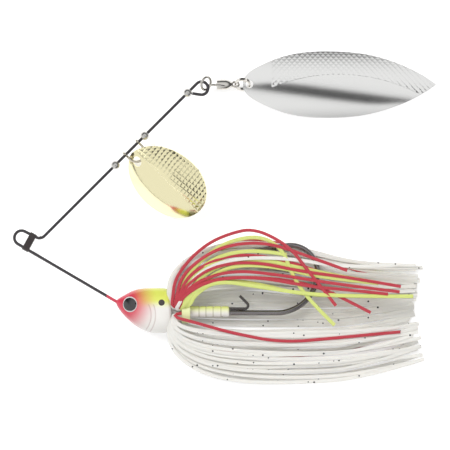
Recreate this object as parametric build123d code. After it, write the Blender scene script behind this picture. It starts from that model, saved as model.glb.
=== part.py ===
from build123d import *
import math
import os

# A tandem-blade spinnerbait lying on its side. Millimetres; +X runs from the nose to the skirt's tail,
# +Y to the blades and +Z up off the table. The origin is the centre of the line-tie eye, in the middle
# plane of the bent wire; the table is TABLE_Z below it.

# ---- driving dimensions: the bent wire ----
WIRE_D = 0.96             # spring wire of the frame
TIE_R = 2.3               # line-tie eye, centreline radius
LOWER_ARM_ANGLE = -30.3   # heading of the arm that carries the head
LOWER_ARM_LENGTH = 36.3   # from the eye to the head's nose
UPPER_LEG_ANGLE = -27.0   # the short leg between the eye and the elbow
UPPER_LEG_LENGTH = 4.15
ELBOW_R = 2.2
UPPER_ARM_ANGLE = 45.0    # heading of the arm that carries the blades
UPPER_ARM_LENGTH = 69.0   # from the elbow to the closed loop at its end
LOOP_R = 2.1              # blade loop, centreline radius
LOOP_TURN = 233.7
LOOP_TAIL = 2.65
INSIDE_RUN = 4.0          # wire inside the head, up to its bend through the hook's eye
INSIDE_BEND_R = 1.0
INSIDE_TAIL = 2.2
TABLE_Z = -5.0

# ---- thread binding and beads ----
BINDING_OUT = 2.85        # distance of the binding's middle from the eye's centre
BINDING_WIDTH = 2.2
THREAD_WALL = 0.3
BEAD_D = 2.9
STOP_BEAD_AT = (32.1, 45.4)   # along the upper arm from the elbow, either side of the clevis
LOOP_BEAD_AT = 64.8

# ---- head ----
HEAD_DROP = 0.3           # the nose's tip below the wire where it enters
# section: distance behind the nose, top and bottom above the shank's line, half thickness
HEAD_SECTIONS = (
    (1.1, 4.75, 1.10, 1.30),
    (2.9, 5.80, -1.10, 2.40),
    (5.9, 7.25, -3.80, 3.70),
    (9.9, 7.90, -6.00, 4.50),
    (13.9, 7.95, -6.60, 4.70),
    (16.7, 7.55, -6.10, 4.45),
    (17.7, 6.50, -5.00, 3.60),
)
NECK_D = 3.5
NECK_LIFT = 0.4           # the neck's axis above the hook shank's
KEEPER_END = 36.3         # rear end of the keeper barrel behind the nose
KEEPER_GROOVES = (26.7, 28.9, 31.2, 33.7)
GROOVE_WIDTH = 0.35
GROOVE_DEPTH = 0.2
EYE_D = 5.0
EYE_AT = (4.7, 2.8)       # behind the nose and above the shank's line
EYE_SURFACE = 3.05        # half thickness of the head at the eye
EYE_TILT = 23.0
FOIL_T = 0.25
DOME_H = 0.55
FIT = 0.02                # clearance of glued and cast-in pieces

# ---- hook ----
HOOK_D = 1.7
SHANK_Y = -24.0
HOOK_EYE_R = 1.25
HOOK_EYE_WIRE = 1.0
BEND_X = 81.7             # where the shank turns into the bend
BEND_R = 13.0
THROAT_R = 8.6
POINT_SLOPE = 7.0
POINT_RUN = 4.0
POINT_TAPER = 7.6
BARB_LENGTH = 3.2
KEEPER_WIRE_D = 0.9
KEEPER_WIRE_LAP = 6.6     # its run along the shank
KEEPER_WIRE_R = 1.0
KEEPER_WIRE_TURN = 135.0
KEEPER_WIRE_TAIL = 3.4

# ---- skirt ----
STRAND_D = 0.7
ROOT_RINGS = ((2.15, 14, 9.86), (2.95, 14, -3.0))  # radius about the neck, strands, turn of the first
FLARE_AHEAD = (2.64, 1.55)  # how far each ring's strands stand ahead of the band
FLARE_BACK = (0.49, 0.31)  # share of that distance at which each ring turns for the tail
RING_REACH = (1.0, 0.98)  # how far out each ring stands, as a share of the skirt's reach
BAND_FRONT = 20.9         # behind the nose
BAND_LENGTH = 2.9
BAND_WALL = 0.45
BAND_MOUTH = 0.25         # the strands start to turn this far ahead of the band's front edge
SKIRT_RISE = 24.5         # height of the highest strand over the shank's line
SKIRT_DROP = 21.7
INNER_LEVEL = 2.75        # the inner ring's strands lie this far from the wire's plane at the least
OUTER_LEVEL = 3.53
SKIRT_LEVEL = 4.27        # and both rings this far at the most
TAIL_X = 129.0

# ---- clevis and short round blade ----
CLEVIS_WIRE = 0.8
CLEVIS_AT = 39.6          # along the upper arm
CLEVIS_R = 2.85
CLEVIS_LEG = 2.1
CLEVIS_TILT = 11.0        # the stirrup's rise off the table's plane
EAR_D = 2.3
EAR_T = 0.55
RUNNING = 0.08            # running clearance, radial
ROUND_SLIDE = -38.0       # where the blade's hole rests on the stirrup's web
ROUND_FLARE = 8.7         # the blade's long axis from square to the arm, seen from above
ROUND_PITCH = 5.0         # its far end's rise
ROUND_ROLL = 30.0
ROUND_LENGTH = 28.6
ROUND_WIDTH = 22.0
ROUND_LONG_R = 34.0
ROUND_CROSS_R = 22.0
ROUND_HOLE_D = 3.3
ROUND_HOLE_IN = 3.1       # hole's centre from the blade's end
ROUND_HOLE_BACK = 0.1     # hole's centre inside the stirrup's web
BLADE_T = 0.5

# ---- ring, ball-bearing swivel, split ring and long leaf blade ----
RING_R = 2.1
RING_WIRE = 0.8
RING_AT = (1.45, 1.55)    # ring's centre from the loop's centre
RING_LEAN = 70.0          # direction of the ring's level diameter
RING_TILT = 50.0
SWIVEL_YAW = 2.0
SWIVEL_PITCH = -7.0
SWIVEL_EYE_R = 1.1
SWIVEL_WIRE = 0.7
NECK_RUN = 1.95           # front eye's centre to the barrel's front
BARREL_D = 3.6
BARREL_LENGTH = 5.1
BARREL_WALL = 0.35
CAP_T = 0.45
SHAFT_D = 0.8
SHAFT_HEAD_D = 2.2
SHAFT_HEAD_T = 0.5
BALL_D = 0.6
BALL_COUNT = 8
BALL_PITCH_R = 0.95
REAR_EYE_RUN = 0.95       # barrel's rear end to the rear eye's centre
SPLIT_R = 2.33
SPLIT_W = 0.5
SPLIT_T = 1.0
SPLIT_TILT = 50.0
LEAF_LENGTH = 62.2
LEAF_WIDTH = 21.3
LEAF_LONG_R = 280.0
LEAF_CROSS_R = 24.0
LEAF_HOLE_D = 2.4
LEAF_HOLE_IN = 2.1
LEAF_PITCH = 1.4          # the tip lies this much lower than level


def heading(angle):
    return Vector(math.cos(math.radians(angle)), math.sin(math.radians(angle)))


def bent_path(start, angle, moves, plane=Plane.XY):
    """Straight runs (length,) and tangent turns (radius, degrees, left positive) from a start point."""
    edges = []
    point = Vector(*start)
    for move in moves:
        if len(move) == 1:
            end = point + heading(angle) * move[0]
            edges.append(Edge.make_line(plane.from_local_coords(point), plane.from_local_coords(end)))
        else:
            radius, turn = move
            side = 1 if turn > 0 else -1
            centre = point + heading(angle + 90 * side) * radius
            middle = centre + heading(angle - 90 * side + turn / 2) * radius
            end = centre + heading(angle - 90 * side + turn) * radius
            corners = [plane.from_local_coords(p) for p in (point, middle, end)]
            edges.append(Edge.make_three_point_arc(*corners))
            angle += turn
        point = end
    return Wire(edges), point, angle


def round_wire(path, diameter):
    """A round wire of this diameter along a path."""
    section = Plane(origin=path @ 0, z_dir=path % 0) * Circle(diameter / 2)
    return sweep(section, path=path)


def swept(path, diameter):
    return round_wire(path, diameter).solids()[0]


# ---- places worked out from the driving dimensions ----
TIE_TO_LOWER = heading(LOWER_ARM_ANGLE - 90) * TIE_R
NOSE = TIE_TO_LOWER + heading(LOWER_ARM_ANGLE) * LOWER_ARM_LENGTH
ARM = heading(UPPER_ARM_ANGLE)
ARM_SIDE = heading(UPPER_ARM_ANGLE - 90)
LEG_END = heading(UPPER_LEG_ANGLE + 90) * TIE_R + heading(UPPER_LEG_ANGLE) * UPPER_LEG_LENGTH
ELBOW_END = (LEG_END + heading(UPPER_LEG_ANGLE + 90) * ELBOW_R
             + heading(UPPER_ARM_ANGLE - 90) * ELBOW_R)
LOOP_CENTRE = ELBOW_END + ARM * UPPER_ARM_LENGTH + ARM_SIDE * LOOP_R
TIE_TURN = 180.0 + LOWER_ARM_ANGLE - UPPER_LEG_ANGLE


def wire_frame():
    """One length of wire: head anchor, lower arm, line-tie eye, elbow, upper arm and blade loop."""
    anchor_moves = [
        (LOOP_TAIL,), (LOOP_R, LOOP_TURN), (UPPER_ARM_LENGTH,),
        (ELBOW_R, UPPER_LEG_ANGLE - UPPER_ARM_ANGLE), (UPPER_LEG_LENGTH,),
        (TIE_R, TIE_TURN), (LOWER_ARM_LENGTH + INSIDE_RUN,),
        (INSIDE_BEND_R, -90.0 - LOWER_ARM_ANGLE), (INSIDE_TAIL,),
    ]
    tail_angle = UPPER_ARM_ANGLE + 180.0 - LOOP_TURN
    loop_out = LOOP_CENTRE + heading(tail_angle - 90) * LOOP_R
    start = loop_out - heading(tail_angle) * LOOP_TAIL
    path, _, _ = bent_path(tuple(start), tail_angle, anchor_moves)
    return swept(path, WIRE_D)


def binding(frame):
    """Thread wound round both legs of the eye, seen as one flat band."""
    middle_angle = (LOWER_ARM_ANGLE + UPPER_LEG_ANGLE) / 2
    place = Plane(origin=heading(middle_angle) * BINDING_OUT, x_dir=heading(middle_angle + 90),
                  z_dir=heading(middle_angle))
    wall = WIRE_D + 2 * THREAD_WALL
    outer = place * extrude(SlotOverall(2 * TIE_R + wall, wall), BINDING_WIDTH / 2, both=True)
    return (outer - frame).solids()[0]


def bead(frame, distance):
    centre = ELBOW_END + ARM * distance
    ball = Pos(*centre) * Sphere(BEAD_D / 2)
    return (ball - frame).solids()[0]


def hook():
    """Ring-eyed jig hook: eye, shank, bend, throat, tapered point and barb."""
    eye_centre = hook_eye_centre()
    ring = Pos(*eye_centre) * Rot(90, 0, 0) * Torus(HOOK_EYE_R, HOOK_EYE_WIRE / 2)
    shank_start = (eye_centre.X + HOOK_EYE_R, SHANK_Y)
    moves = [
        (BEND_X - shank_start[0],), (BEND_R, 90.0), (THROAT_R, 90.0 + POINT_SLOPE), (POINT_RUN,),
    ]
    path, end, angle = bent_path(shank_start, 0.0, moves)
    body = round_wire(path, HOOK_D)
    taper_plane = Plane(origin=end, z_dir=heading(angle))
    taper = taper_plane * Cone(HOOK_D / 2, 0.06, POINT_TAPER,
                               align=(Align.CENTER, Align.CENTER, Align.MIN))
    inner = heading(angle + 90)
    foot = end + heading(angle) * (POINT_TAPER * 0.25)
    tip = end + inner * (HOOK_D / 2 + 0.75) - heading(angle) * 0.6
    root = end - heading(angle) * 0.1
    blade = make_face(Polyline(foot, tip, root, close=True))
    barb = extrude(blade, HOOK_D * 0.3, both=True)
    return (body + taper + barb + ring).solids()[0]


def hook_eye_centre():
    anchor = NOSE + heading(LOWER_ARM_ANGLE) * INSIDE_RUN
    x = anchor.X + INSIDE_BEND_R * (1 - math.cos(math.radians(90.0 + LOWER_ARM_ANGLE)))
    return Vector(x, SHANK_Y, 0)


def keeper_wire():
    """Bait keeper: lies along the shank and kicks back towards the head."""
    y = SHANK_Y + (HOOK_D + KEEPER_WIRE_D) / 2 + FIT
    start = (NOSE.X + KEEPER_END - 1.6, y)
    moves = [(KEEPER_WIRE_LAP,), (KEEPER_WIRE_R, KEEPER_WIRE_TURN), (KEEPER_WIRE_TAIL,)]
    path, _, _ = bent_path(start, 0.0, moves)
    return swept(path, KEEPER_WIRE_D)


def neck_axis_y():
    return SHANK_Y + NECK_LIFT


def along_x(x0, x1, radius):
    """A cylinder about the neck's axis between two distances behind the nose."""
    place = Plane(origin=(NOSE.X + x0, neck_axis_y(), 0), z_dir=(1, 0, 0))
    return place * Cylinder(radius, x1 - x0, align=(Align.CENTER, Align.CENTER, Align.MIN))


def head(cut_by):
    """Lead head, neck and keeper barrel cast in one piece round the wire and the hook."""
    sections = [Vertex(NOSE.X, NOSE.Y - HEAD_DROP, 0)]
    for back, top, bottom, half in HEAD_SECTIONS:
        middle = SHANK_Y + (top + bottom) / 2
        place = Plane(origin=(NOSE.X + back, middle, 0), x_dir=(0, 1, 0), z_dir=(1, 0, 0))
        sections.append(place * Ellipse((top - bottom) / 2, half))
    body = loft(sections)
    barrel = along_x(HEAD_SECTIONS[-1][0] - 0.8, KEEPER_END, NECK_D / 2)
    rear = barrel.faces().sort_by(Axis.X)[-1]
    barrel = fillet(rear.edges(), NECK_D * 0.2)
    for groove in KEEPER_GROOVES:
        ring = (along_x(groove, groove + GROOVE_WIDTH, NECK_D / 2 + 1)
                - along_x(groove, groove + GROOVE_WIDTH, NECK_D / 2 - GROOVE_DEPTH))
        barrel -= ring
    casting = body + barrel
    for piece in cut_by:
        casting -= piece
    for side in (1, -1):
        casting -= eye_plane(side) * Cylinder(EYE_D / 2 + FIT, 4.0, align=(Align.CENTER,) * 2 + (Align.MIN,))
    return max(casting.solids(), key=lambda s: s.volume)


def eye_plane(side):
    """Seat of one eye, with its normal out of the head's flank; side is 1 for the upper flank."""
    tilt = math.radians(EYE_TILT)
    origin = (NOSE.X + EYE_AT[0], SHANK_Y + EYE_AT[1], side * (EYE_SURFACE - FOIL_T))
    return Plane(origin=origin, x_dir=(math.cos(tilt), 0, side * math.sin(tilt)),
                 z_dir=(-math.sin(tilt), 0, side * math.cos(tilt)))


def eye_foil(side):
    lift = Align.CENTER, Align.CENTER, Align.MIN
    return (eye_plane(side) * Cylinder(EYE_D / 2 - FIT, FOIL_T, align=lift)).solids()[0]


def eye_dome(side):
    """Clear cap: a slice off a sphere, seated on the foil."""
    base = EYE_D / 2 - 0.15
    radius = (base ** 2 + DOME_H ** 2) / (2 * DOME_H)
    ball = Pos(0, 0, FOIL_T + FIT + DOME_H - radius) * Sphere(radius)
    lid = Pos(0, 0, FOIL_T + FIT) * Cylinder(EYE_D, 2.0, align=(Align.CENTER, Align.CENTER, Align.MIN))
    return (eye_plane(side) * (ball & lid)).solids()[0]


def skirt_band():
    inner = ROOT_RINGS[-1][0] + STRAND_D / 2 + FIT
    front, rear = BAND_FRONT + BAND_MOUTH, BAND_FRONT + BAND_LENGTH
    return (along_x(front, rear, inner + BAND_WALL) - along_x(front, rear, inner)).solids()[0]


def strand_level(out, ring):
    """Height of a strand's flat run over the wire's plane: the first ring folds back over the second."""
    if ring == 0:
        return OUTER_LEVEL + (SKIRT_LEVEL - OUTER_LEVEL) * abs(out) ** 0.69
    return INNER_LEVEL + (SKIRT_LEVEL - INNER_LEVEL) * abs(out) ** 1.47


def strand_points(turn, ring):
    """Route of one strand: out of the band's front, round the flare and back to the tail.

    turn is its place round the neck, from 0 at the top, in degrees.
    """
    root_radius = ROOT_RINGS[ring][0]
    up = math.cos(math.radians(turn))
    out = math.sin(math.radians(turn))
    side = 1 if out > 0 else -1
    level = side * strand_level(out, ring)
    x0 = NOSE.X + BAND_FRONT
    axis = neck_axis_y()
    if up > 0:
        reach, tail_drop, tail = SKIRT_RISE, 0.62, 2.6 + 9.6 * up
    else:
        reach, tail_drop, tail = SKIRT_DROP, 0.96, 2.6 + 18.3 * up
    reach *= RING_REACH[ring]
    root_y, root_z = root_radius * up, root_radius * out
    middle_z = (root_z + level) / 2
    wide = abs(up)
    ahead = FLARE_AHEAD[ring]
    offsets = [
        (BAND_LENGTH - 0.1, root_y, root_z),
        (1.0 - ahead - 0.2 * wide, root_y, root_z),
        (-ahead - 0.2 * wide, root_y + 0.16 * reach * up, middle_z),
        (-FLARE_BACK[ring] * ahead * (1 + 1.1 * wide), 0.50 * reach * up + 0.4 * root_y, level),
        (6.0, 0.83 * reach * up, level),
        (19.0, reach * up, level),
        (37.0, 0.5 * reach * up * (1 + tail_drop), level),
        (57.0, (0.2 + 0.5 * tail_drop) * reach * up * 0.9, level),
        (TAIL_X - x0 - 6.0 * (1 - wide), tail, level),
    ]
    return [Vector(x0 + x, axis + y, z) for x, y, z in offsets]


def strand(turn, ring):
    points = strand_points(turn, ring)
    radii = []
    for before, here, after in zip(points, points[1:], points[2:]):
        bend = (here - before).get_angle(after - here)
        shorter = min((here - before).length, (after - here).length)
        radii.append(min(0.45 * shorter / math.tan(math.radians(bend / 2)), 60.0))
    return swept(FilletPolyline(*points, radius=radii).wire(), STRAND_D)


# places round the neck, by colour: (ring, number counted from the top)
RED = {(0, 0), (0, 1), (1, 1), (0, 2), (1, 3), (1, 5), (0, 12), (1, 13)}
CHARTREUSE = {(1, 0), (1, 2), (0, 3), (0, 13), (0, 11), (1, 12)}


def skirt():
    """Strands by colour, each a separate solid."""
    groups = {"red_strands": [], "chartreuse_strands": [], "pearl_strands": []}
    for ring, (_, count, phase) in enumerate(ROOT_RINGS):
        for number in range(count):
            turn = number * 360.0 / count + phase
            name = "pearl_strands"
            if (ring, number) in RED:
                name = "red_strands"
            if (ring, number) in CHARTREUSE:
                name = "chartreuse_strands"
            groups[name].append(strand(turn, ring))
    return groups


# ---- clevis and round blade ----
TILT = math.radians(CLEVIS_TILT)
STIRRUP_OUT = ARM_SIDE * math.cos(TILT) + Vector(0, 0, math.sin(TILT))
STIRRUP_UP = STIRRUP_OUT.cross(ARM)
CLEVIS_CENTRE = ELBOW_END + ARM * CLEVIS_AT
FLARE_CENTRE = CLEVIS_CENTRE + STIRRUP_OUT * CLEVIS_LEG


def clevis():
    """Wire stirrup with two pierced ears that turn on the upper arm."""
    plane = Plane(origin=CLEVIS_CENTRE, x_dir=STIRRUP_OUT, z_dir=STIRRUP_UP)
    clear = WIRE_D / 2 + RUNNING
    leg_start = clear + 0.25
    moves = [(CLEVIS_LEG - leg_start,), (CLEVIS_R, -180.0), (CLEVIS_LEG - leg_start,)]
    path, _, _ = bent_path((leg_start, CLEVIS_R), 0.0, moves, plane)
    body = round_wire(path, CLEVIS_WIRE)
    for side in (1, -1):
        place = Plane(origin=CLEVIS_CENTRE + ARM * CLEVIS_R * side, z_dir=ARM)
        body += place * Cylinder(EAR_D / 2, EAR_T)
    body -= Plane(origin=CLEVIS_CENTRE, z_dir=ARM) * Cylinder(clear, 4 * CLEVIS_R)
    return body.solids()[0]


def cupped_blade(outline, long_r, cross_r, hole_d, crown_at):
    """A blade pressed to a doubly curved cup: crown at z 0 over crown_at, hole's centre at x 0."""
    ring = Circle(cross_r) - Circle(cross_r - BLADE_T)
    wedge = Pos(0, cross_r) * Rectangle(1.6 * cross_r, 1.6 * cross_r)
    profile = Plane(origin=(crown_at, 0, -cross_r), x_dir=(0, 1, 0), z_dir=(1, 0, 0)) * (ring & wedge)
    sweep_angle = 2 * math.degrees(math.asin(min(0.95, 1.25 * (crown_at + 4) / long_r)))
    axis = Axis((crown_at, 0, -long_r), (0, 1, 0))
    sheet = revolve(profile, axis, revolution_arc=2 * sweep_angle)
    sheet = sheet.rotate(axis, -sweep_angle)
    prism = extrude(outline, cross_r * 0.8, both=True)
    hole = Cylinder(hole_d / 2, 2 * cross_r)
    return (sheet & prism) - hole


def mirrored_outline(points):
    """A closed face from the points of one side, mirrored over the long axis."""
    upper = Spline(*points)
    lower = Spline(*[(x, -y) for x, y in reversed(points)])
    edges = [upper, lower]
    if points[0][1] > 0:
        edges.append(Line((points[0][0], -points[0][1]), points[0]))
    if points[-1][1] > 0:
        edges.append(Line(points[-1], (points[-1][0], -points[-1][1])))
    return make_face(edges)


def round_blade():
    """Short round blade on the clevis, concave side down, leaning on its lower edge."""
    half, length, start = ROUND_WIDTH / 2, ROUND_LENGTH, -ROUND_HOLE_IN
    shape = [(0.0, 0.06), (0.035, 0.29), (0.16, 0.68), (0.38, 0.955), (0.56, 1.0),
             (0.78, 0.86), (0.93, 0.53), (1.0, 0.06)]
    points = [(start + length * x, half * y) for x, y in shape]
    crown = length / 2 - ROUND_HOLE_IN
    blade = cupped_blade(mirrored_outline(points), ROUND_LONG_R, ROUND_CROSS_R, ROUND_HOLE_D, crown)
    slide = math.radians(ROUND_SLIDE)
    hole = FLARE_CENTRE + (STIRRUP_OUT * math.cos(slide) + ARM * math.sin(slide)) * (CLEVIS_R - ROUND_HOLE_BACK)
    drop = ROUND_LONG_R - math.sqrt(ROUND_LONG_R ** 2 - crown ** 2) + BLADE_T / 2
    pitch, roll = math.radians(ROUND_PITCH), math.radians(ROUND_ROLL)
    level = heading(UPPER_ARM_ANGLE - 90 + ROUND_FLARE)
    along = level * math.cos(pitch) + Vector(0, 0, math.sin(pitch))
    across = Vector(0, 0, 1).cross(level)
    lateral = across * math.cos(roll) + along.cross(across) * math.sin(roll)
    normal = along.cross(lateral)
    place = Plane(origin=hole + normal * drop, x_dir=along, z_dir=normal)
    return (place * blade).solids()[0]


# ---- swivel chain ----
LEVEL_DIAMETER = heading(RING_LEAN)
RING_DOWN = (heading(RING_LEAN - 90) * math.cos(math.radians(RING_TILT))
             - Vector(0, 0, math.sin(math.radians(RING_TILT))))
RING_CENTRE = LOOP_CENTRE + Vector(*RING_AT)
RING_HANG = RING_CENTRE + RING_DOWN * RING_R
_pitch, _yaw = math.radians(SWIVEL_PITCH), math.radians(SWIVEL_YAW)
SWIVEL_AXIS = Vector(math.cos(_pitch) * math.cos(_yaw), math.cos(_pitch) * math.sin(_yaw), math.sin(_pitch))
SWIVEL_EYE = RING_HANG + SWIVEL_AXIS * 0.2
SWIVEL_SIDE = Vector(0, 0, 1).cross(SWIVEL_AXIS).normalized()
REAR_EYE = SWIVEL_EYE + SWIVEL_AXIS * (NECK_RUN + BARREL_LENGTH + REAR_EYE_RUN)
SPLIT_ACROSS = Vector(0, math.cos(math.radians(SPLIT_TILT)), math.sin(math.radians(SPLIT_TILT)))
SPLIT_NORMAL = Vector(1, 0, 0).cross(SPLIT_ACROSS)
SPLIT_CENTRE = REAR_EYE + Vector(SPLIT_R - 0.05, 0, 0)
LEAF_HOLE = SPLIT_CENTRE + Vector(SPLIT_R - 0.1, 0, 0)


def swivel_ring():
    """Welded ring between the blade loop and the swivel's front eye."""
    normal = LEVEL_DIAMETER.cross(RING_DOWN)
    return (Plane(origin=RING_CENTRE, z_dir=normal) * Torus(RING_R, RING_WIRE / 2)).solids()[0]


def swivel_plane(side):
    """Plane along the swivel with its X along the axis, seen from the given side."""
    return Plane(origin=SWIVEL_EYE, x_dir=SWIVEL_AXIS, z_dir=side)


def on_axis(x0, x1, radius):
    place = Plane(origin=SWIVEL_EYE + SWIVEL_AXIS * x0, z_dir=SWIVEL_AXIS)
    return place * Cylinder(radius, x1 - x0, align=(Align.CENTER, Align.CENTER, Align.MIN))


def swivel_front_eye():
    """Eye, shaft and the head that runs on the balls inside the barrel."""
    eye = Plane(origin=SWIVEL_EYE, z_dir=SWIVEL_SIDE) * Torus(SWIVEL_EYE_R, SWIVEL_WIRE / 2)
    head_at = NECK_RUN + CAP_T + 0.05 + BALL_D + 0.05
    shaft = on_axis(SWIVEL_EYE_R, head_at + 0.1, SHAFT_D / 2)
    flange = on_axis(head_at, head_at + SHAFT_HEAD_T, SHAFT_HEAD_D / 2)
    return (eye + shaft + flange).solids()[0]


def barrel_profile(inset, x0, x1):
    """Outline of the barrel between its axis and its wall: full at the front, drawn in at the rear."""
    radius = BARREL_D / 2 - inset
    neck = 0.75 - inset * 0.5
    swell = x0 + 0.45 * (x1 - x0)
    return make_face([
        Line((x0, 0), (x0, radius * 0.9)),
        ThreePointArc((x0, radius * 0.9), ((x0 + swell) / 2, radius * 0.985), (swell, radius)),
        Spline((swell, radius), (x0 + 0.75 * (x1 - x0), radius * 0.86), (x1, neck),
               tangents=((1, 0), (1, -0.7))),
        Line((x1, neck), (x1, 0)), Line((x1, 0), (x0, 0)),
    ])


def swivel_barrel():
    """Thin-walled body, open at the front where the cap is pressed in."""
    plane = swivel_plane(SWIVEL_SIDE)
    x0, x1 = NECK_RUN, NECK_RUN + BARREL_LENGTH
    axis = Axis(SWIVEL_EYE, SWIVEL_AXIS)
    outer = revolve(plane * barrel_profile(0, x0, x1), axis)
    seat = BARREL_D / 2 * 0.9 - BARREL_WALL
    bore = on_axis(x0, x0 + 0.5 * BARREL_LENGTH, seat)
    return (outer - bore).solids()[0]


def swivel_cap():
    """Front cap with the running hole for the shaft."""
    seat = BARREL_D / 2 * 0.9 - BARREL_WALL - FIT
    disc = on_axis(NECK_RUN, NECK_RUN + CAP_T, seat)
    return (disc - on_axis(0, NECK_RUN + 1, SHAFT_D / 2 + RUNNING)).solids()[0]


def swivel_balls():
    middle = NECK_RUN + CAP_T + 0.05 + BALL_D / 2
    plane = Plane(origin=SWIVEL_EYE + SWIVEL_AXIS * middle, z_dir=SWIVEL_AXIS)
    ball = Sphere(BALL_D / 2)
    return [(plane * loc * ball).solids()[0] for loc in PolarLocations(BALL_PITCH_R, BALL_COUNT)]


def swivel_rear_eye(barrel):
    """Rear eye with the stem riveted in the barrel's drawn-in end."""
    eye = Plane(origin=REAR_EYE, z_dir=SPLIT_ACROSS) * Torus(SWIVEL_EYE_R, SWIVEL_WIRE / 2)
    start = NECK_RUN + BARREL_LENGTH
    return ((eye + on_axis(start - 0.8, start + 0.2, SWIVEL_WIRE / 2)) - barrel).solids()


def split_ring():
    """Two flat turns of spring wire, with the seam between them as a groove."""
    plane = Plane(origin=SPLIT_CENTRE, x_dir=(1, 0, 0), z_dir=SPLIT_NORMAL)
    outer = SPLIT_R + SPLIT_W / 2
    ring = Cylinder(outer, SPLIT_T) - Cylinder(outer - SPLIT_W, SPLIT_T)
    seam = Cylinder(outer, 0.08) - Cylinder(outer - 0.12, 0.08)
    return (plane * (ring - seam)).solids()[0]


def leaf_blade():
    """Long leaf-shaped blade on the split ring, concave side down."""
    half, length, start = LEAF_WIDTH / 2, LEAF_LENGTH, -LEAF_HOLE_IN
    shape = [(0.0, 0.11), (0.012, 0.24), (0.09, 0.57), (0.23, 0.88), (0.47, 1.0),
             (0.65, 0.90), (0.80, 0.64), (0.94, 0.245), (1.0, 0.0)]
    points = [(start + length * x, half * y) for x, y in shape]
    crown = length / 2 - LEAF_HOLE_IN
    blade = cupped_blade(mirrored_outline(points), LEAF_LONG_R, LEAF_CROSS_R, LEAF_HOLE_D, crown)
    drop = LEAF_LONG_R - math.sqrt(LEAF_LONG_R ** 2 - crown ** 2) + BLADE_T / 2
    pitch = math.radians(-LEAF_PITCH)
    along = Vector(math.cos(pitch), 0, math.sin(pitch))
    normal = along.cross(Vector(0, 1, 0))
    place = Plane(origin=LEAF_HOLE + normal * drop, x_dir=along, z_dir=normal)
    return (place * blade).solids()[0]


def build():
    frame = wire_frame()
    the_hook = hook()
    bait_wire = keeper_wire()
    barrel = swivel_barrel()
    pieces = {
        "wire_frame": frame,
        "line_tie_binding": binding(frame),
        "lower_stop_bead": bead(frame, STOP_BEAD_AT[0]),
        "upper_stop_bead": bead(frame, STOP_BEAD_AT[1]),
        "loop_bead": bead(frame, LOOP_BEAD_AT),
        "hook": the_hook,
        "bait_keeper_wire": bait_wire,
        "head_casting": head([frame, the_hook, bait_wire]),
        "skirt_band": skirt_band(),
        "clevis": clevis(),
        "round_blade": round_blade(),
        "swivel_ring": swivel_ring(),
        "swivel_front_eye": swivel_front_eye(),
        "swivel_cap": swivel_cap(),
        "swivel_balls": Compound(swivel_balls()),
        "swivel_barrel": barrel,
        "swivel_rear_eye": Compound(swivel_rear_eye(barrel)),
        "split_ring": split_ring(),
        "leaf_blade": leaf_blade(),
    }
    for side, name in ((1, "upper"), (-1, "lower")):
        pieces[f"{name}_eye_foil"] = eye_foil(side)
        pieces[f"{name}_eye_dome"] = eye_dome(side)
    for name, strands in skirt().items():
        pieces[name] = Compound(strands)
    return pieces


os.makedirs("parts", exist_ok=True)
for node, shape in build().items():
    export_step(shape, f"parts/{node}.step")
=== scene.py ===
import math
import random

import bpy
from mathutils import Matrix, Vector


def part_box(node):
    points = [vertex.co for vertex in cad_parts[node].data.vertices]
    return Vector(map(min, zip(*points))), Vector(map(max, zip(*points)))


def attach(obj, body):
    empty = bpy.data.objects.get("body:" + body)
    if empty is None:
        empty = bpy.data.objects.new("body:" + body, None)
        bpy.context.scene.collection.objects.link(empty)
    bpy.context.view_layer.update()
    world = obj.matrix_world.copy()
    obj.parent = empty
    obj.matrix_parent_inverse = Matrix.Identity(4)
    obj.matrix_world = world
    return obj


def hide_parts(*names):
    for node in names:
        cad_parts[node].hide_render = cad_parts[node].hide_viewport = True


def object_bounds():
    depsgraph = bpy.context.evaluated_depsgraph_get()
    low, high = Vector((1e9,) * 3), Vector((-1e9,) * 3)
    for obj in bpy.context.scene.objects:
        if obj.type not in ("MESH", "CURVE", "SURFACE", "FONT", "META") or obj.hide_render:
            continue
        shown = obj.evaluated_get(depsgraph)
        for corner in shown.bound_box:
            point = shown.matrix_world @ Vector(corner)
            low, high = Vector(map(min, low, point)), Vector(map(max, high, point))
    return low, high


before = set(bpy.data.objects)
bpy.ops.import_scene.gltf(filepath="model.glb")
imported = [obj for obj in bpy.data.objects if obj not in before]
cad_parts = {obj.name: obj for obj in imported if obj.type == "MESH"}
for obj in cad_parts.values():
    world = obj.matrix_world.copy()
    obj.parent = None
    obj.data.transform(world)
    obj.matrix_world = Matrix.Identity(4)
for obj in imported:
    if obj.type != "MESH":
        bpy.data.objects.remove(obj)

cad_box = [list(corner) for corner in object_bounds()]
MM = 0.001


def material(name, color, metallic=0.0, roughness=0.4, **settings):
    """A plain material; settings are further shader sockets by name."""
    made = bpy.data.materials.new(name)
    made.use_nodes = True
    shader = made.node_tree.nodes["Principled BSDF"]
    shader.inputs["Base Color"].default_value = (*color, 1.0)
    shader.inputs["Metallic"].default_value = metallic
    shader.inputs["Roughness"].default_value = roughness
    for socket, value in settings.items():
        shader.inputs[socket.replace("_", " ")].default_value = value
    return made


def shader_of(made):
    return made.node_tree.nodes["Principled BSDF"]


def math_node(tree, operation, first, second=0.0, third=None, clamp=False):
    """A Math node; each value is a socket or a number."""
    node = tree.nodes.new("ShaderNodeMath")
    node.operation = operation
    node.use_clamp = clamp
    for slot, value in enumerate((first, second, third)):
        if value is None:
            continue
        if isinstance(value, (int, float)):
            node.inputs[slot].default_value = value
        else:
            tree.links.new(value, node.inputs[slot])
    return node.outputs[0]


def object_axes(tree):
    """The point's own x and y in metres, and the vector itself."""
    place = tree.nodes.new("ShaderNodeTexCoord").outputs["Object"]
    parts = tree.nodes.new("ShaderNodeSeparateXYZ")
    tree.links.new(place, parts.inputs[0])
    return parts.outputs[0], parts.outputs[1], place


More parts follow.
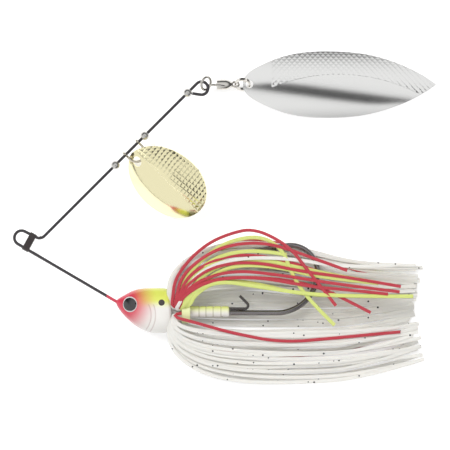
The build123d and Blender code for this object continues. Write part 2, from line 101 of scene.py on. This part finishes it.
def ramp(tree, value, low, high):
    """0 below low and 1 above high, smoothly."""
    node = tree.nodes.new("ShaderNodeMapRange")
    node.interpolation_type = "SMOOTHSTEP"
    tree.links.new(value, node.inputs["Value"])
    node.inputs["From Min"].default_value = low
    node.inputs["From Max"].default_value = high
    return node.outputs["Result"]


def blended(tree, factor, below, above):
    """Colour below where factor is 0, above where it is 1."""
    node = tree.nodes.new("ShaderNodeMix")
    node.data_type = "RGBA"
    tree.links.new(factor, node.inputs["Factor"])
    for socket, value in ((node.inputs[6], below), (node.inputs[7], above)):
        if isinstance(value, tuple):
            socket.default_value = (*value, 1.0)
        else:
            tree.links.new(value, socket)
    return node.outputs[2]


def away_from(tree, x, y, centre):
    """Distance from a line along Z through centre, given in millimetres."""
    across = math_node(tree, "SUBTRACT", x, centre[0] * MM)
    along = math_node(tree, "SUBTRACT", y, centre[1] * MM)
    across_square = math_node(tree, "POWER", across, 2.0)
    along_square = math_node(tree, "POWER", along, 2.0)
    return math_node(tree, "SQRT", math_node(tree, "ADD", across_square, along_square))


def inverse(tree, value):
    return math_node(tree, "SUBTRACT", 1.0, value)


def beyond(tree, x, y, start_x, start_y, soft_x, soft_y):
    """1 past start_x along X and past start_y down Y; it grows over the two soft lengths."""
    past_x = ramp(tree, x, start_x, start_x + soft_x)
    past_y = ramp(tree, math_node(tree, "MULTIPLY", y, -1.0), start_y, start_y + soft_y)
    return math_node(tree, "MULTIPLY", past_x, past_y)


def lines_at(tree, distances, half_width, edge):
    """1 on thin lines, each where one of the distances is 0; it fades out between half_width and edge."""
    drawn = None
    for distance in distances:
        line = inverse(tree, ramp(tree, math_node(tree, "ABSOLUTE", distance), half_width, edge))
        drawn = line if drawn is None else math_node(tree, "MAXIMUM", drawn, line)
    return drawn


def color_from(made, socket):
    made.node_tree.links.new(socket, shader_of(made).inputs["Base Color"])


def raised(made, height, distance, strength=1.0):
    """Feeds height, from 0 to 1, to the shader as relief of that depth in metres."""
    tree = made.node_tree
    bump = tree.nodes.new("ShaderNodeBump")
    bump.inputs["Strength"].default_value = strength
    bump.inputs["Distance"].default_value = distance
    tree.links.new(height, bump.inputs["Height"])
    tree.links.new(bump.outputs["Normal"], shader_of(made).inputs["Normal"])


def dress(made, *nodes):
    """Gives the material to CAD nodes as they stand."""
    for node in nodes:
        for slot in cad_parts[node].material_slots:
            slot.material = made


def with_nodes(source, tree, inputs):
    """Runs a Geometry Nodes tree on an object and leaves a plain mesh in its place."""
    modifier = source.modifiers.new("shape", "NODES")
    modifier.node_group = tree
    for item in tree.interface.items_tree:
        if item.in_out == "INPUT" and item.name in inputs:
            modifier[item.identifier] = inputs[item.name]
    bpy.context.view_layer.update()
    seen = bpy.context.evaluated_depsgraph_get()
    plain = bpy.data.meshes.new_from_object(source.evaluated_get(seen))
    piece = bpy.data.objects.new(source.name + "_mesh", plain)
    bpy.context.collection.objects.link(piece)
    name = source.name
    bpy.data.objects.remove(source)
    piece.name = name
    plain.name = name
    return piece


# ---- Wire frame, beads -------------------------------------------------------------
# One length of spring wire with a smoky grey finish, bent to the omega eye, the V and the closed loop.
# Its lower arm goes into the lead head, and the last few millimetres took the head's red paint.
smoky_grey = (0.085, 0.08, 0.085)
nose_red = (0.62, 0.06, 0.10)
wire_metallic = 0.85
wire_metal = material("wire_metal", smoky_grey, wire_metallic, 0.36)
tree = wire_metal.node_tree
x, y, place = object_axes(tree)
near_nose = beyond(tree, x, y, 0.0270, 0.0155, 0.0005, 0.0005)
color_from(wire_metal, blended(tree, near_nose, smoky_grey, nose_red))
bare = math_node(tree, "MULTIPLY", inverse(tree, near_nose), wire_metallic)
tree.links.new(bare, shader_of(wire_metal).inputs["Metallic"])
dress(wire_metal, "wire_frame")
dress(material("bead_metal", (0.58, 0.57, 0.55), 1.0, 0.20), "lower_stop_bead", "upper_stop_bead", "loop_bead")

# ---- Line tie binding --------------------------------------------------------------
# Dark thread whipped round both legs of the eye, side by side turns under varnish.
# It holds the two legs together below the eye, and its end sticks out a little.
thread = material("thread", (0.035, 0.026, 0.026), 0.0, 0.35, Coat_Weight=0.6, Coat_Roughness=0.15)


def geometry_tree(name, settings):
    """An empty Geometry Nodes tree; settings are (label, socket type) between the curve and the material."""
    tree = bpy.data.node_groups.new(name, "GeometryNodeTree")
    face = tree.interface
    for label, kind in (("Geometry", "Geometry"), *settings, ("Material", "Material")):
        face.new_socket(label, in_out="INPUT", socket_type="NodeSocket" + kind)
    face.new_socket("Geometry", in_out="OUTPUT", socket_type="NodeSocketGeometry")
    return tree, tree.nodes.new("NodeGroupInput"), tree.nodes.new("NodeGroupOutput")


def realized(tree, given, out, geometry):
    """Ends a tree: instances made real, and the material set."""
    real = tree.nodes.new("GeometryNodeRealizeInstances")
    tree.links.new(geometry, real.inputs["Geometry"])
    dyed = tree.nodes.new("GeometryNodeSetMaterial")
    tree.links.new(real.outputs["Geometry"], dyed.inputs["Geometry"])
    tree.links.new(given.outputs["Material"], dyed.inputs["Material"])
    tree.links.new(dyed.outputs["Geometry"], out.inputs["Geometry"])


def binding_tree():
    """Copies of one turn of thread, a step apart."""
    tree, given, out = geometry_tree(
        "whipping", (("Turns", "Int"), ("Step", "Vector"), ("Thread radius", "Float")))
    nodes, link = tree.nodes, tree.links.new
    line = nodes.new("GeometryNodeMeshLine")
    link(given.outputs["Turns"], line.inputs["Count"])
    link(given.outputs["Step"], line.inputs["Offset"])
    profile = nodes.new("GeometryNodeCurvePrimitiveCircle")
    profile.inputs["Resolution"].default_value = 10
    link(given.outputs["Thread radius"], profile.inputs["Radius"])
    tube = nodes.new("GeometryNodeCurveToMesh")
    link(given.outputs["Geometry"], tube.inputs["Curve"])
    link(profile.outputs["Curve"], tube.inputs["Profile Curve"])
    tube.inputs["Fill Caps"].default_value = True
    copies = nodes.new("GeometryNodeInstanceOnPoints")
    link(line.outputs["Mesh"], copies.inputs["Points"])
    link(tube.outputs["Mesh"], copies.inputs["Instance"])
    realized(tree, given, out, copies.outputs["Instances"])
    return tree


def thread_curve(name, points, closed=False):
    """A curve object through the points, which are in metres."""
    data = bpy.data.curves.new(name, "CURVE")
    data.dimensions = "3D"
    spline = data.splines.new("POLY")
    spline.points.add(len(points) - 1)
    for point, where in zip(spline.points, points):
        point.co = (*where, 1.0)
    spline.use_cyclic_u = closed
    made = bpy.data.objects.new(name, data)
    bpy.context.collection.objects.link(made)
    return made


# ---- Skirt -------------------------------------------------------------------------
# Flat silicone strands under a rubber band on the head's barrel. They come out ahead of the band and fold
# back over it, so they stand out round the hook and stream to the tail. Most are pearl with black fleck,
# with a few red and chartreuse ones. They are cut off square.
pearl_white = (0.90, 0.885, 0.84)
fleck_black = (0.03, 0.03, 0.035)
pearl = material("pearl_silicone", pearl_white, 0.0, 0.38, Subsurface_Weight=0.25, Alpha=0.84)
shader_of(pearl).inputs["Subsurface Radius"].default_value = (0.0012, 0.0011, 0.001)
tree = pearl.node_tree
x, y, place = object_axes(tree)
cells = tree.nodes.new("ShaderNodeTexVoronoi")
cells.inputs["Scale"].default_value = 620.0
tree.links.new(place, cells.inputs["Vector"])
chance = tree.nodes.new("ShaderNodeSeparateColor")
tree.links.new(cells.outputs["Color"], chance.inputs[0])
one_cell_in_five = math_node(tree, "GREATER_THAN", chance.outputs[0], 0.80)
near_its_middle = math_node(tree, "LESS_THAN", cells.outputs["Distance"], 0.20)
fleck = math_node(tree, "MULTIPLY", one_cell_in_five, near_its_middle)
color_from(pearl, blended(tree, fleck, pearl_white, fleck_black))
red = material("red_silicone", (0.50, 0.045, 0.065), 0.0, 0.34, Subsurface_Weight=0.1)
shader_of(red).inputs["Subsurface Radius"].default_value = (0.001, 0.0003, 0.0003)
chartreuse = material("chartreuse_silicone", (0.72, 0.80, 0.24), 0.0, 0.34, Subsurface_Weight=0.1, Alpha=0.88)
shader_of(chartreuse).inputs["Subsurface Radius"].default_value = (0.0008, 0.001, 0.0003)


def ribbon_tree():
    """Flat strips with softened edges along every curve."""
    tree, given, out = geometry_tree(
        "ribbons", (("Width", "Float"), ("Thickness", "Float"), ("Spacing", "Float")))
    nodes, link = tree.nodes, tree.links.new
    even = nodes.new("GeometryNodeResampleCurve")
    even.mode = "LENGTH"
    link(given.outputs["Geometry"], even.inputs["Curve"])
    link(given.outputs["Spacing"], even.inputs["Length"])
    flat = nodes.new("GeometryNodeCurvePrimitiveQuadrilateral")
    link(given.outputs["Width"], flat.inputs["Width"])
    link(given.outputs["Thickness"], flat.inputs["Height"])
    soft = nodes.new("GeometryNodeFilletCurve")
    soft.mode = "POLY"
    soft.inputs["Count"].default_value = 2
    soft.inputs["Radius"].default_value = 0.00013
    link(flat.outputs["Curve"], soft.inputs["Curve"])
    tube = nodes.new("GeometryNodeCurveToMesh")
    tube.inputs["Fill Caps"].default_value = True
    link(even.outputs["Curve"], tube.inputs["Curve"])
    link(soft.outputs["Curve"], tube.inputs["Profile Curve"])
    realized(tree, given, out, tube.outputs["Mesh"])
    return tree


ribbons = ribbon_tree()
ribbon_thickness = 0.00050
ribbon_spacing = 0.0011


def strands(name, routes, made, width):
    """Routes are lists of (x, y, z, twist) control points, in millimetres and degrees."""
    data = bpy.data.curves.new(name, "CURVE")
    data.dimensions = "3D"
    data.twist_mode = "Z_UP"
    data.resolution_u = 8
    for points in routes:
        spline = data.splines.new("NURBS")
        spline.points.add(len(points) - 1)
        for point, (px, py, pz, twist) in zip(spline.points, points):
            point.co = (px * MM, py * MM, pz * MM, 1.0)
            point.tilt = math.radians(twist)
        spline.order_u = 3
        spline.use_endpoint_u = True
    source = bpy.data.objects.new(name, data)
    bpy.context.collection.objects.link(source)
    return with_nodes(source, ribbons, {
        "Width": width, "Thickness": ribbon_thickness, "Spacing": ribbon_spacing, "Material": made})


dice = random.Random(7)
low, high = (Vector(corner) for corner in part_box("skirt_band"))
band_front = low.x / MM
band_rear = high.x / MM
neck_y = (low.y + high.y) / 2 / MM
tail_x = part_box("pearl_strands")[1][0] / MM
skirt_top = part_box("red_strands")[1][1] / MM
skirt_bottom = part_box("pearl_strands")[0][1] / MM


def level_at(up, shell):
    """Height over the wire's plane of a strand's long run, from how far up or down it stands."""
    lowest, bulge, shell_gap = 2.75, 1.5, 0.62
    out = math.sqrt(max(0.0, 1.0 - up * up))
    inner = lowest + bulge * out ** 1.5
    return inner + shell_gap * (1.0 - out ** 2) if shell else inner


def fan(up, side, shell):
    """A strand by its place in the fan: up is 1 for the topmost and -1 for the lowest."""
    under_band = 2.6
    ahead = 2.6 if shell else 1.6
    tail_middle, tail_jitter = 2.8, 1.5
    crest, over_hook, behind_hook, near_tail = (band_front + run for run in (5.5, 19.0, 38.0, 57.0))
    out = math.sqrt(max(0.0, 1.0 - up * up))
    height = side * level_at(up, shell)
    reach = (skirt_top - neck_y) if up > 0 else (neck_y - skirt_bottom + 2.6 * shell)
    if up > 0:
        tail = tail_middle + 12.0 * up ** 1.4 + dice.uniform(-tail_jitter, tail_jitter)
        back, middle = 0.86, 0.62
    else:
        tail = tail_middle + 18.2 * up + dice.uniform(-tail_jitter, tail_jitter)
        back, middle = 0.985, 0.93
    lift = dice.uniform(-0.18, 0.18)
    wave = dice.uniform(-1.1, 1.1)
    end = tail_x - dice.uniform(0.0, 3.0) - 3.0 * (1 - abs(up))
    crosses_over = side == 1 and up > 0
    far = -0.85 * height if crosses_over else height
    late = middle * reach * up if up < 0 else 0.5 * (middle * reach * up + tail)
    return [
        (band_rear, neck_y + under_band * up, side * under_band * out, 0),
        (band_front - ahead * 0.6, neck_y + under_band * up, side * under_band * out, 0),
        (band_front - ahead * 1.1 - 1.8 * abs(up), neck_y + 0.16 * reach * up, height * 0.8, 8),
        (band_front - 0.8 - 3.0 * abs(up), neck_y + 0.55 * reach * up, height, 6),
        (crest, neck_y + 0.86 * reach * up, height, dice.uniform(-18, 18)),
        (over_hook, neck_y + reach * up, 0.5 * (height + far), dice.uniform(-22, 22)),
        (behind_hook, neck_y + back * reach * up + wave, far + lift, dice.uniform(-25, 25)),
        (near_tail, neck_y + late + wave, far + lift, dice.uniform(-25, 25)),
        (end, neck_y + tail, far, dice.uniform(-25, 25)),
    ]


def along(root, side, level, points):
    """A strand through the given places of x and y, with its root run added ahead of them.

    Side is 1 over the wire's plane and -1 under it. Root and level are its heights near the neck and later on.
    """
    first = points[0]
    up = max(-0.5, min(0.5, (points[2][1] - neck_y) / 48.0))
    out = math.sqrt(1.0 - up * up)
    route = [
        (band_rear, neck_y + 2.7 * up, side * 2.7 * out, 0),
        (band_front - 0.7, neck_y + 2.9 * up, side * 2.9, 0),
        (first[0] - 0.6, 0.5 * (first[1] + neck_y), side * (root - 0.3), 10),
        (first[0], first[1], side * root, 10),
        (*points[1], side * max(level + 0.5, root - 0.1), 10),
    ]
    return route + [(px, py, side * (level + 0.4), dice.uniform(-20, 20)) for px, py in points[2:]]


# The near side stays open round the hook, and the far side has more strands behind it.
pearl_routes = []
open_gap = 0.30
for side, count in ((1, 17), (-1, 16)):
    for shell in (0, 1):
        for number in range(count):
            up = -1 + (2 * number + 1 + 0.5 * shell + dice.uniform(-0.35, 0.35)) / count
            if side == 1 and abs(up) < open_gap:
                continue
            pearl_routes.append(fan(max(-0.995, min(0.995, up)), side, shell))
behind_count = 12
for number in range(behind_count):
    pearl_routes.append(fan(-0.33 + 0.06 * number, -1, number % 2))
pearl_routes.append(along(4.8, 1, 3.9, [
    (50, -22), (55, -12), (66, -6.6), (84, -6.2), (105, -9.8), (120, -8.6)]))
pearl_piece = strands("pearl_ribbons", pearl_routes, pearl, 0.00115)
red_root = 4.92
red_places = [
    (1, 4.25, [(48.5, -19.2), (49.0, -13.6), (53.0, -7.6), (59.2, -2.0), (66, 1.2), (74.5, 3.2), (85.6, -2.6),
               (91.5, -10.5), (97.2, -17.4), (100.4, -21.6)]),
    (1, 4.10, [(49.6, -19.2), (50.8, -13.3), (54.8, -8.6), (61.5, -4.0), (70, -1.6), (80, -1.8), (92, -6),
               (104, -10.4)]),
    (-1, 3.3, [(50, -21.3), (53.6, -11), (60, -4.6), (72, -0.2), (86, -2.2), (99, -8.2), (113.8, -12.3)]),
    (1, 3.3, [(50.0, -20), (53, -12), (63, -6.2), (74, -5.2), (88, -8.0), (101, -13.0)]),
    (1, 4.0, [(50.8, -19.5), (53.0, -14.8), (61, -9.0), (74, -7.4), (90, -10.8), (106, -12.8), (121.1, -15.5)]),
    (1, 4.2, [(51.4, -18.2), (57, -13.4), (68, -10.2), (84, -12.0), (101, -14.8), (120.7, -17.2)]),
    (1, 4.3, [(51.6, -18.6), (60, -13.4), (74.3, -12.2), (92.6, -15.6), (104, -16.5), (117, -17.9)]),
    (1, 3.6, [(51.4, -17.6), (62, -12.6), (80, -12.6), (94.9, -15.5), (104.2, -20), (111.5, -23.8)]),
    (1, 4.3, [(49.6, -25.4), (55.8, -27.0), (67, -30.2), (83, -33.4), (101, -31.8), (120.9, -29.9)]),
    (-1, 3.9, [(49.6, -27.4), (52.5, -33), (67, -37.2), (83, -38.4), (101, -36.8), (122, -33.9)]),
]
red_routes = [along(red_root, *place) for place in red_places]
red_piece = strands("red_ribbons", red_routes, red, 0.00100)
chartreuse_root = 4.45
chartreuse_places = [
    (1, 3.75, [(50.6, -18.4), (52.4, -13.0), (57.6, -7.0), (65, -1.4), (76, 0.9), (83.5, -3.4), (86.5, -12),
               (92, -20), (100, -27.8)]),
    (1, 3.45, [(50.4, -20.4), (55, -11.0), (63, -7.6), (74, -6.6), (88, -9.2), (99, -11.8), (109.2, -13.5)]),
    (1, 4.25, [(52.0, -19.2), (62, -13.4), (76, -15.6), (92, -18.0), (108.3, -18.6), (124.8, -18.6)]),
    (-1, 3.6, [(50.4, -18), (54, -8), (66, -2.6), (84, -4.6), (103, -10), (124, -12.4)]),
    (-1, 4.1, [(51.4, -20), (58, -14.6), (74, -14.6), (97, -17.6), (124, -20.4)]),
    (1, 3.50, [(52.1, -21.3), (55.0, -12.3), (59.8, -7.5), (66.8, -4.7), (76.5, -3.9), (84.8, -5.4)]),
    (1, 3.20, [(52.9, -20.0), (56.4, -13.0), (64.0, -8.5), (73.7, -6.6), (82.7, -7.6), (91.1, -10.2),
               (98.7, -12.5)]),
    (1, 3.70, [(53.6, -19.3), (59.8, -12.5), (66.8, -9.2), (73.7, -8.6), (84.1, -9.7), (94.5, -12.5),
               (114.0, -14.5)]),
    (1, 3.00, [(55.0, -18.6), (61.2, -14.1), (69.5, -13.7), (77.9, -15.2), (87.6, -17.7), (101.5, -18.7),
               (125.1, -18.6)]),
    (-1, 3.40, [(52.9, -20.0), (55.7, -11.6), (64.0, -4.0), (73.7, -1.2), (84.8, -2.6), (93.1, -8.2),
                (101.5, -12.5), (119.5, -15.1)]),
]
chartreuse_routes = [along(chartreuse_root, *place) for place in chartreuse_places]
chartreuse_piece = strands("chartreuse_ribbons", chartreuse_routes, chartreuse, 0.00120)
for piece, node, slot in (
        (pearl_piece, "pearl_strands", "pearl_skirt"),
        (red_piece, "red_strands", "red_skirt"),
        (chartreuse_piece, "chartreuse_strands", "chartreuse_skirt")):
    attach(piece, "lure")
    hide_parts(node)
dress(material("band_rubber", (0.80, 0.84, 0.46), 0.0, 0.5), "skirt_band")

# ---- Line tie whipping, placed -----------------------------------------------------
# The turns are stadium loops round both legs, square to the line that halves the V.
low, high = (Vector(corner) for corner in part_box("line_tie_binding"))
binding_centre = (low + high) / 2
half_height = high.z - 0.00008
straight_half = 0.0023
legs = math.radians(-28.65)
turn_steps = 28
turn_count = 7
pitch = 0.00031
thread_radius = 0.00018
heading = Vector((math.cos(legs), math.sin(legs), 0.0))
start = heading * (-pitch * (turn_count - 1) / 2)
turn_points = []
for step in range(turn_steps):
    angle = 2 * math.pi * step / turn_steps
    across = math.copysign(straight_half, math.sin(angle)) if abs(math.sin(angle)) > 1e-6 else 0.0
    across += half_height * math.sin(angle)
    turn_points.append((
        binding_centre.x - across * math.sin(legs) + start.x,
        binding_centre.y + across * math.cos(legs) + start.y,
        half_height * math.cos(angle),
    ))
whipping = binding_tree()
thread_piece = with_nodes(thread_curve("binding_thread", turn_points, closed=True), whipping, {
    "Turns": turn_count, "Step": tuple(heading * pitch), "Thread radius": thread_radius, "Material": thread})
elbow_x = binding_centre.x + 0.0027
elbow_y = binding_centre.y + 0.0014
end_points = [
    (elbow_x, elbow_y, 0.0004), (elbow_x + 0.0005, elbow_y + 0.0001, 0.0006),
    (elbow_x + 0.0010, elbow_y + 0.0005, 0.0007)]
loose_piece = with_nodes(thread_curve("binding_thread_end", end_points), whipping, {
    "Turns": 1, "Step": (0.0, 0.0, 0.0), "Thread radius": thread_radius, "Material": thread})
for piece in (thread_piece, loose_piece):
    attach(piece, "lure")
dress(thread, "line_tie_binding")

# ---- Head --------------------------------------------------------------------------
# Lead cast round the wire and the hook's eye, then sprayed: white all over, yellow green along the back,
# crimson round the nose and eye, which fades through orange above and pink below. Gloss clear coat on top.
head_paint = material("head_paint", (0.88, 0.86, 0.82), 0.0, 0.30, Coat_Weight=0.7, Coat_Roughness=0.08)
tree = head_paint.node_tree
x, y, place = object_axes(tree)
on_barrel = ramp(tree, x, 0.0500, 0.0510)
top = math_node(tree, "ADD", y, math_node(tree, "MULTIPLY", on_barrel, 0.0018))
back = ramp(tree, top, neck_y * MM + 0.0008, neck_y * MM + 0.0040)
belly_white = (0.86, 0.84, 0.80)
back_green = (0.72, 0.78, 0.13)
colour = blended(tree, back, belly_white, back_green)
blush_centre = (31.6, -20.6)
blush = inverse(tree, ramp(tree, away_from(tree, x, y, blush_centre), 0.0040, 0.0125))
colour = blended(tree, blush, colour, (0.66, 0.045, 0.085))
spot_centre = (44.9, -20.6)
spot_radius = 0.00100
inked = math_node(tree, "LESS_THAN", away_from(tree, x, y, spot_centre), spot_radius)
colour = blended(tree, inked, colour, (0.03, 0.02, 0.02))
# Two gill lines arc round the cheek at the lower rear. They are cut in as relief and also darkened in the
# colour, which is painted shade in the gill grooves.
from_cheek = away_from(tree, x, y, (34.4, -24.6))
gill_radii = (0.0072, 0.0086)
gills = lines_at(tree, [math_node(tree, "SUBTRACT", from_cheek, r) for r in gill_radii], 0.00008, 0.00026)
gills = math_node(tree, "MULTIPLY", gills, beyond(tree, x, y, 0.0395, 0.0210, 0.0005, 0.0004))
colour = blended(tree, math_node(tree, "MULTIPLY", gills, 0.30), colour, (0.35, 0.12, 0.12))
# The four ring grooves round the barrel are drawn as dark lines in the paint colour: painted shade in the
# grooves.
barrel_grooves = (0.0568, 0.0590, 0.0613, 0.0638)
groove_shade = lines_at(tree, [math_node(tree, "SUBTRACT", x, g) for g in barrel_grooves], 0.00008, 0.00024)
colour = blended(tree, math_node(tree, "MULTIPLY", groove_shade, 0.45), colour, (0.30, 0.30, 0.12))
color_from(head_paint, colour)
raised(head_paint, inverse(tree, gills), 0.00015, 0.6)
dress(head_paint, "head_casting")

# ---- Eyes --------------------------------------------------------------------------
# A silvered disc with a clear resin dome over a black pupil, glued in a socket on each side.
eye_low, eye_high = (Vector(corner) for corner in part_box("upper_eye_dome"))
eye_centre = ((eye_low.x + eye_high.x) / 2 / MM, (eye_low.y + eye_high.y) / 2 / MM)
dome = material("eye_dome", (0.02, 0.02, 0.02), 0.0, 0.06, Coat_Weight=1.0, Coat_Roughness=0.03)
tree = dome.node_tree
x, y, place = object_axes(tree)
pupil_radius = 0.00208
iris = ramp(tree, away_from(tree, x, y, eye_centre), pupil_radius, pupil_radius + 0.00008)
pupil_black = (0.012, 0.012, 0.014)
foil_silver = (0.72, 0.70, 0.68)
color_from(dome, blended(tree, iris, pupil_black, foil_silver))
dress(dome, "upper_eye_dome", "lower_eye_dome")
dress(material("eye_foil", (0.80, 0.79, 0.77), 0.7, 0.30), "upper_eye_foil", "lower_eye_foil")

# ---- Hook and keeper wire ----------------------------------------------------------
# A forged single hook cast into the head, black nickel plated. A thin wire bent back along the shank
# stops a soft trailer from sliding off.
dress(material("black_nickel", (0.24, 0.225, 0.225), 1.0, 0.14), "hook")
dress(material("keeper_metal", (0.13, 0.12, 0.12), 1.0, 0.25), "bait_keeper_wire")

# ---- Blades ------------------------------------------------------------------------
# Both are stamped from sheet brass, cupped, and hammered on one half so that they flash.
# The round one is plated pale gold and the leaf one silver. Neither carries any lettering.


def facet_group():
    """Rows of small square facets set on their corners, each hollowed a little."""
    group = bpy.data.node_groups.new("hammered_facets", "ShaderNodeTree")
    group.interface.new_socket("Vector", in_out="INPUT", socket_type="NodeSocketVector")
    group.interface.new_socket("Scale", in_out="INPUT", socket_type="NodeSocketFloat")
    group.interface.new_socket("Turn", in_out="INPUT", socket_type="NodeSocketVector")
    group.interface.new_socket("Height", in_out="OUTPUT", socket_type="NodeSocketFloat")
    nodes, link = group.nodes, group.links.new
    given, out = nodes.new("NodeGroupInput"), nodes.new("NodeGroupOutput")
    flat = nodes.new("ShaderNodeVectorMath")
    flat.operation = "MULTIPLY"
    flat.inputs[1].default_value = (1.0, 1.0, 0.0)
    link(given.outputs["Vector"], flat.inputs[0])
    turn = nodes.new("ShaderNodeVectorRotate")
    turn.rotation_type = "EULER_XYZ"
    link(flat.outputs[0], turn.inputs["Vector"])
    link(given.outputs["Turn"], turn.inputs["Rotation"])
    cells = nodes.new("ShaderNodeTexVoronoi")
    cells.voronoi_dimensions = "2D"
    cells.distance = "CHEBYCHEV"
    cells.inputs["Randomness"].default_value = 0.12
    link(turn.outputs[0], cells.inputs["Vector"])
    link(given.outputs["Scale"], cells.inputs["Scale"])
    square = nodes.new("ShaderNodeMath")
    square.operation = "POWER"
    square.inputs[1].default_value = 1.6
    link(cells.outputs["Distance"], square.inputs[0])
    link(square.outputs[0], out.inputs["Height"])
    return group


facets = facet_group()


def hammered(made, mask_of, scale, turn, depth):
    """Facets where mask_of(tree, x, y) is 1; scale is facets to a metre, turn is in degrees."""
    tree = made.node_tree
    x, y, place = object_axes(tree)
    node = tree.nodes.new("ShaderNodeGroup")
    node.node_tree = facets
    node.inputs["Scale"].default_value = scale
    node.inputs["Turn"].default_value = (0.0, 0.0, math.radians(turn))
    tree.links.new(place, node.inputs["Vector"])
    raised(made, math_node(tree, "MULTIPLY", node.outputs["Height"], mask_of(tree, x, y)), depth)


def leaf_half(tree, x, y):
    """The upper half of the leaf blade, above a ridge that arches from near the hole to the tip."""
    crest_x, crest_y, bend = 0.1015, 0.05235, 9.1
    offset = math_node(tree, "SUBTRACT", x, crest_x)
    drop = math_node(tree, "MULTIPLY", math_node(tree, "POWER", offset, 2.0), bend)
    ridge = math_node(tree, "SUBTRACT", crest_y, drop)
    above = ramp(tree, math_node(tree, "SUBTRACT", y, ridge), 0.0, 0.0002)
    return math_node(tree, "MULTIPLY", above, ramp(tree, x, 0.0800, 0.0804))


def round_half(tree, x, y):
    """The half of the round blade away from the head."""
    return ramp(tree, math_node(tree, "ADD", x, y), 0.0645, 0.0648)


silver = material("silver_plate", (0.84, 0.84, 0.83), 1.0, 0.17)
hammered(silver, leaf_half, scale=850.0, turn=45.0, depth=0.00016)
dress(silver, "leaf_blade")
gold = material("pale_gold_plate", (0.90, 0.84, 0.54), 1.0, 0.13)
hammered(gold, round_half, scale=760.0, turn=38.0, depth=0.00055)
dress(gold, "round_blade")

# ---- Clevis, swivel and rings ------------------------------------------------------
# Bright wire clevis, and a nickel plated ball bearing swivel: a welded ring, an eye that turns on balls
# in the barrel, and a fixed rear eye that carries the split ring.
dress(material("clevis_metal", (0.62, 0.57, 0.46), 1.0, 0.16), "clevis")
nickel = material("nickel_plate", (0.66, 0.64, 0.60), 1.0, 0.16)
dress(nickel, "swivel_ring", "swivel_front_eye", "swivel_barrel", "swivel_cap", "swivel_balls",
      "swivel_rear_eye", "split_ring")

# ---- Floor, lights and camera ------------------------------------------------------
# White paper under the lure, which also glows a little for the camera and for the metal's reflections.
# Three soft lamps, a dark card for the blades to mirror, and a long lens that looks straight down.
middle_of_set = (0.065, 0.004)
floor_z = cad_box[0][2] - 0.0001
bpy.ops.mesh.primitive_plane_add(size=3.0, location=(*middle_of_set, floor_z))
floor = bpy.context.object
floor.name = "floor"
paper = material("floor_paper", (0.86, 0.86, 0.86), 0.0, 1.0, Specular_IOR_Level=0.0)
tree = paper.node_tree
rays = tree.nodes.new("ShaderNodeLightPath")
shader_of(paper).inputs["Emission Color"].default_value = (1.0, 1.0, 1.0, 1.0)
seen = math_node(tree, "MAXIMUM", rays.outputs["Is Camera Ray"], rays.outputs["Is Glossy Ray"])
paper_glow = 0.45
tree.links.new(math_node(tree, "MULTIPLY", seen, paper_glow), shader_of(paper).inputs["Emission Strength"])
floor.data.materials.append(paper)


def faced(where, target):
    """The rotation that turns something at where towards target."""
    return (Vector(where) - Vector(target)).to_track_quat("Z", "Y").to_euler()


def card(name, size, centre, brightness):
    """A card over the set that only reflections see."""
    bpy.ops.mesh.primitive_plane_add(size=1.0, location=centre)
    made = bpy.context.object
    made.name = name
    made.scale = (size[0], size[1], 1.0)
    made.rotation_euler = faced(centre, (*middle_of_set, 0.0))
    matt = material(name + "_surface", (brightness,) * 3, 0.0, 1.0, Specular_IOR_Level=0.0)
    made.data.materials.append(matt)
    for ray in ("camera", "diffuse", "transmission", "shadow", "volume_scatter"):
        setattr(made, "visible_" + ray, False)


card("dark_card", (0.11, 0.40), (0.130, -0.07, 0.55), 0.004)


def lamp(name, where, size, power):
    """A square lamp turned to the lure; reflections leave it out."""
    data = bpy.data.lights.new(name, "AREA")
    data.shape = "SQUARE"
    data.size = size
    data.energy = power
    made = bpy.data.objects.new(name, data)
    bpy.context.collection.objects.link(made)
    made.location = where
    made.rotation_euler = faced(where, (0.065, 0.0, 0.0))
    made.visible_glossy = False


lamp("key", (-0.35, 0.45, 0.75), 0.45, 4.9)
lamp("fill", (0.60, 0.25, 0.80), 0.60, 1.6)
lamp("front", (0.05, -0.60, 0.70), 0.50, 1.2)

# The studio's even light. What mirrors see of it is bright overhead and to the front left, and dim elsewhere.
world = bpy.data.worlds.new("studio")
bpy.context.scene.world = world
world.use_nodes = True
tree = world.node_tree
aim = tree.nodes.new("ShaderNodeSeparateXYZ")
tree.links.new(tree.nodes.new("ShaderNodeTexCoord").outputs["Generated"], aim.inputs[0])
overhead = ramp(tree, aim.outputs[2], 0.35, 0.90)
rays = tree.nodes.new("ShaderNodeLightPath")
front_left = math_node(tree, "MULTIPLY", math_node(tree, "ADD", aim.outputs[0], aim.outputs[1]), -0.7071)
bright = math_node(tree, "MAXIMUM", overhead, ramp(tree, front_left, 0.38, 0.62))
even_light = 0.50
mirror_range, mirror_dimmed = 0.84, -0.40
change = math_node(tree, "MULTIPLY_ADD", bright, mirror_range, mirror_dimmed)
mirrored = math_node(tree, "MULTIPLY", rays.outputs["Is Glossy Ray"], change)
background = tree.nodes["Background"]
background.inputs["Color"].default_value = (1.0, 1.0, 1.0, 1.0)
tree.links.new(math_node(tree, "ADD", even_light, mirrored), background.inputs["Strength"])

lens = bpy.data.cameras.new("camera")
lens.sensor_width = 36.0
lens.lens = 225.0
lens.clip_end = 10.0
camera = bpy.data.objects.new("camera", lens)
bpy.context.collection.objects.link(camera)
camera.location = (0.0651, 0.0041, 0.90)
bpy.context.scene.camera = camera
bpy.context.scene.view_settings.view_transform = "Standard"
